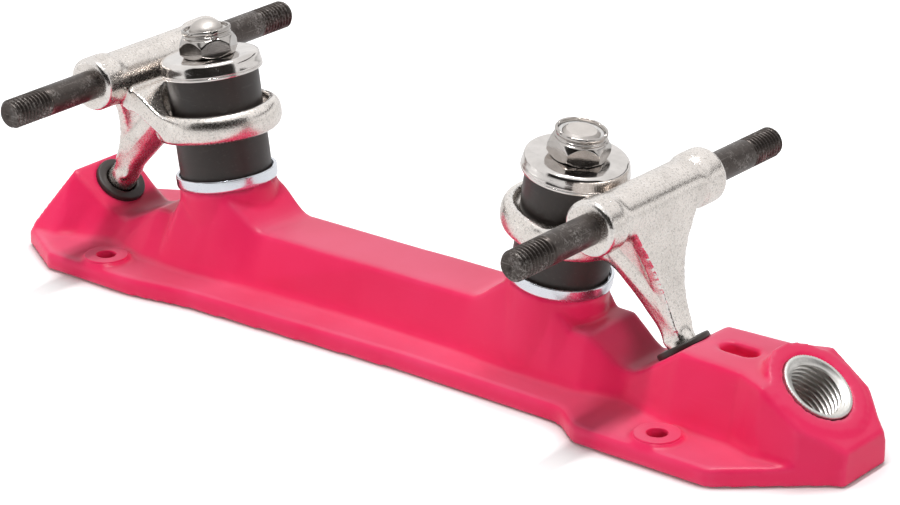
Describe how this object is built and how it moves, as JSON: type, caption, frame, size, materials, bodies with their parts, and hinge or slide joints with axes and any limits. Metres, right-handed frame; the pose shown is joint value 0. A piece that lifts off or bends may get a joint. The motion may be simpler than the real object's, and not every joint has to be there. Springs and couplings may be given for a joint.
{
  "type": "roller skate plate",
  "caption": "Moulded nylon roller skate plate lying on its boot face, with cushioned steering trucks on leaning kingpins, bare threaded axles and a sloping threaded hole for a toe stop.",
  "frame": {"origin": "on the flat boot face, in the middle plane, midway between the two axles", "axes": "+X to the toe, +Z from the boot face towards the wheels, so the plate lies wheels up; +Y completes a right-handed frame and runs along the axles"},
  "size_m": [0.2647, 0.11, 0.0705],
  "materials": {
    "nylon": "pink moulded nylon, satin, with soft edges",
    "cast_metal": "sand-cast and tumbled, finely grained",
    "bright_steel": "bright plated",
    "zinc_steel": "bluish zinc plated",
    "black_steel": "black oxide, worn bright in places",
    "rubber": "black, satin",
    "ring_plastic": "pale locking ring"
  },
  "bodies": {
    "base": {"plate": "nylon", "toe_stop_insert": "bright_steel", "front_kingpin_bolt": "bright_steel", "front_lower_cup_washer": "zinc_steel", "front_lower_bushing": "rubber", "front_upper_bushing": "rubber", "front_upper_cup_washer": "bright_steel", "front_lock_nut": "bright_steel", "front_lock_ring": "ring_plastic", "front_pivot_cup": "rubber", "rear_kingpin_bolt": "bright_steel", "rear_lower_cup_washer": "zinc_steel", "rear_lower_bushing": "rubber", "rear_upper_bushing": "rubber", "rear_upper_cup_washer": "bright_steel", "rear_lock_nut": "bright_steel", "rear_lock_ring": "ring_plastic", "rear_pivot_cup": "rubber"},
    "front_truck": {"front_hanger": "cast_metal", "front_axle": "black_steel"},
    "rear_truck": {"rear_hanger": "cast_metal", "rear_axle": "black_steel"}
  },
  "joints": [
    {"name": "front_steer", "type": "hinge", "parent": "base", "child": "front_truck", "pos_m": [0.0998, 0, 0.0145], "axis": [-0.7993, 0, 0.6009], "range_deg": [-12, 12], "stiffness_Nm_per_rad": 60, "deforming": ["front_lower_bushing", "front_upper_bushing"]},
    {"name": "rear_steer", "type": "hinge", "parent": "base", "child": "rear_truck", "pos_m": [-0.0998, 0, 0.0145], "axis": [0.7993, 0, 0.6009], "range_deg": [-12, 12], "stiffness_Nm_per_rad": 60, "deforming": ["rear_lower_bushing", "rear_upper_bushing"]}
  ]
}
